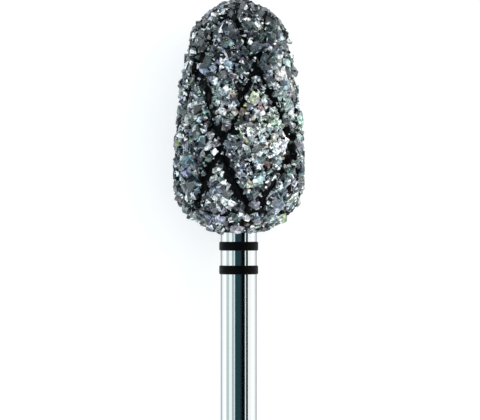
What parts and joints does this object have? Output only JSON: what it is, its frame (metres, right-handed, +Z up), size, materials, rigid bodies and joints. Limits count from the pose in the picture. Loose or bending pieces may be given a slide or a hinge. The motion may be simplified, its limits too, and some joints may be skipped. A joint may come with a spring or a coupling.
{
  "type": "dental bur",
  "caption": "Bud-shaped coarse diamond grinding bur with crossed cooling channels and a plain round shank.",
  "frame": {"origin": "on the floor that the tool lies on, under the middle of its length and width", "axes": "+Z up, +Y along the tool as it lies, towards the tip of the head, +X across it"},
  "size_m": [0.0086, 0.0444, 0.0086],
  "materials": {
    "polished_steel": "polished",
    "diamond_grit": "coarse diamond grains in a dark nickel bond",
    "black_enamel": "satin"
  },
  "bodies": {
    "root": {"steel_blank": "polished_steel", "diamond_grit_coating": "diamond_grit", "upper_grade_band": "black_enamel", "lower_grade_band": "black_enamel"}
  },
  "joints": []
}
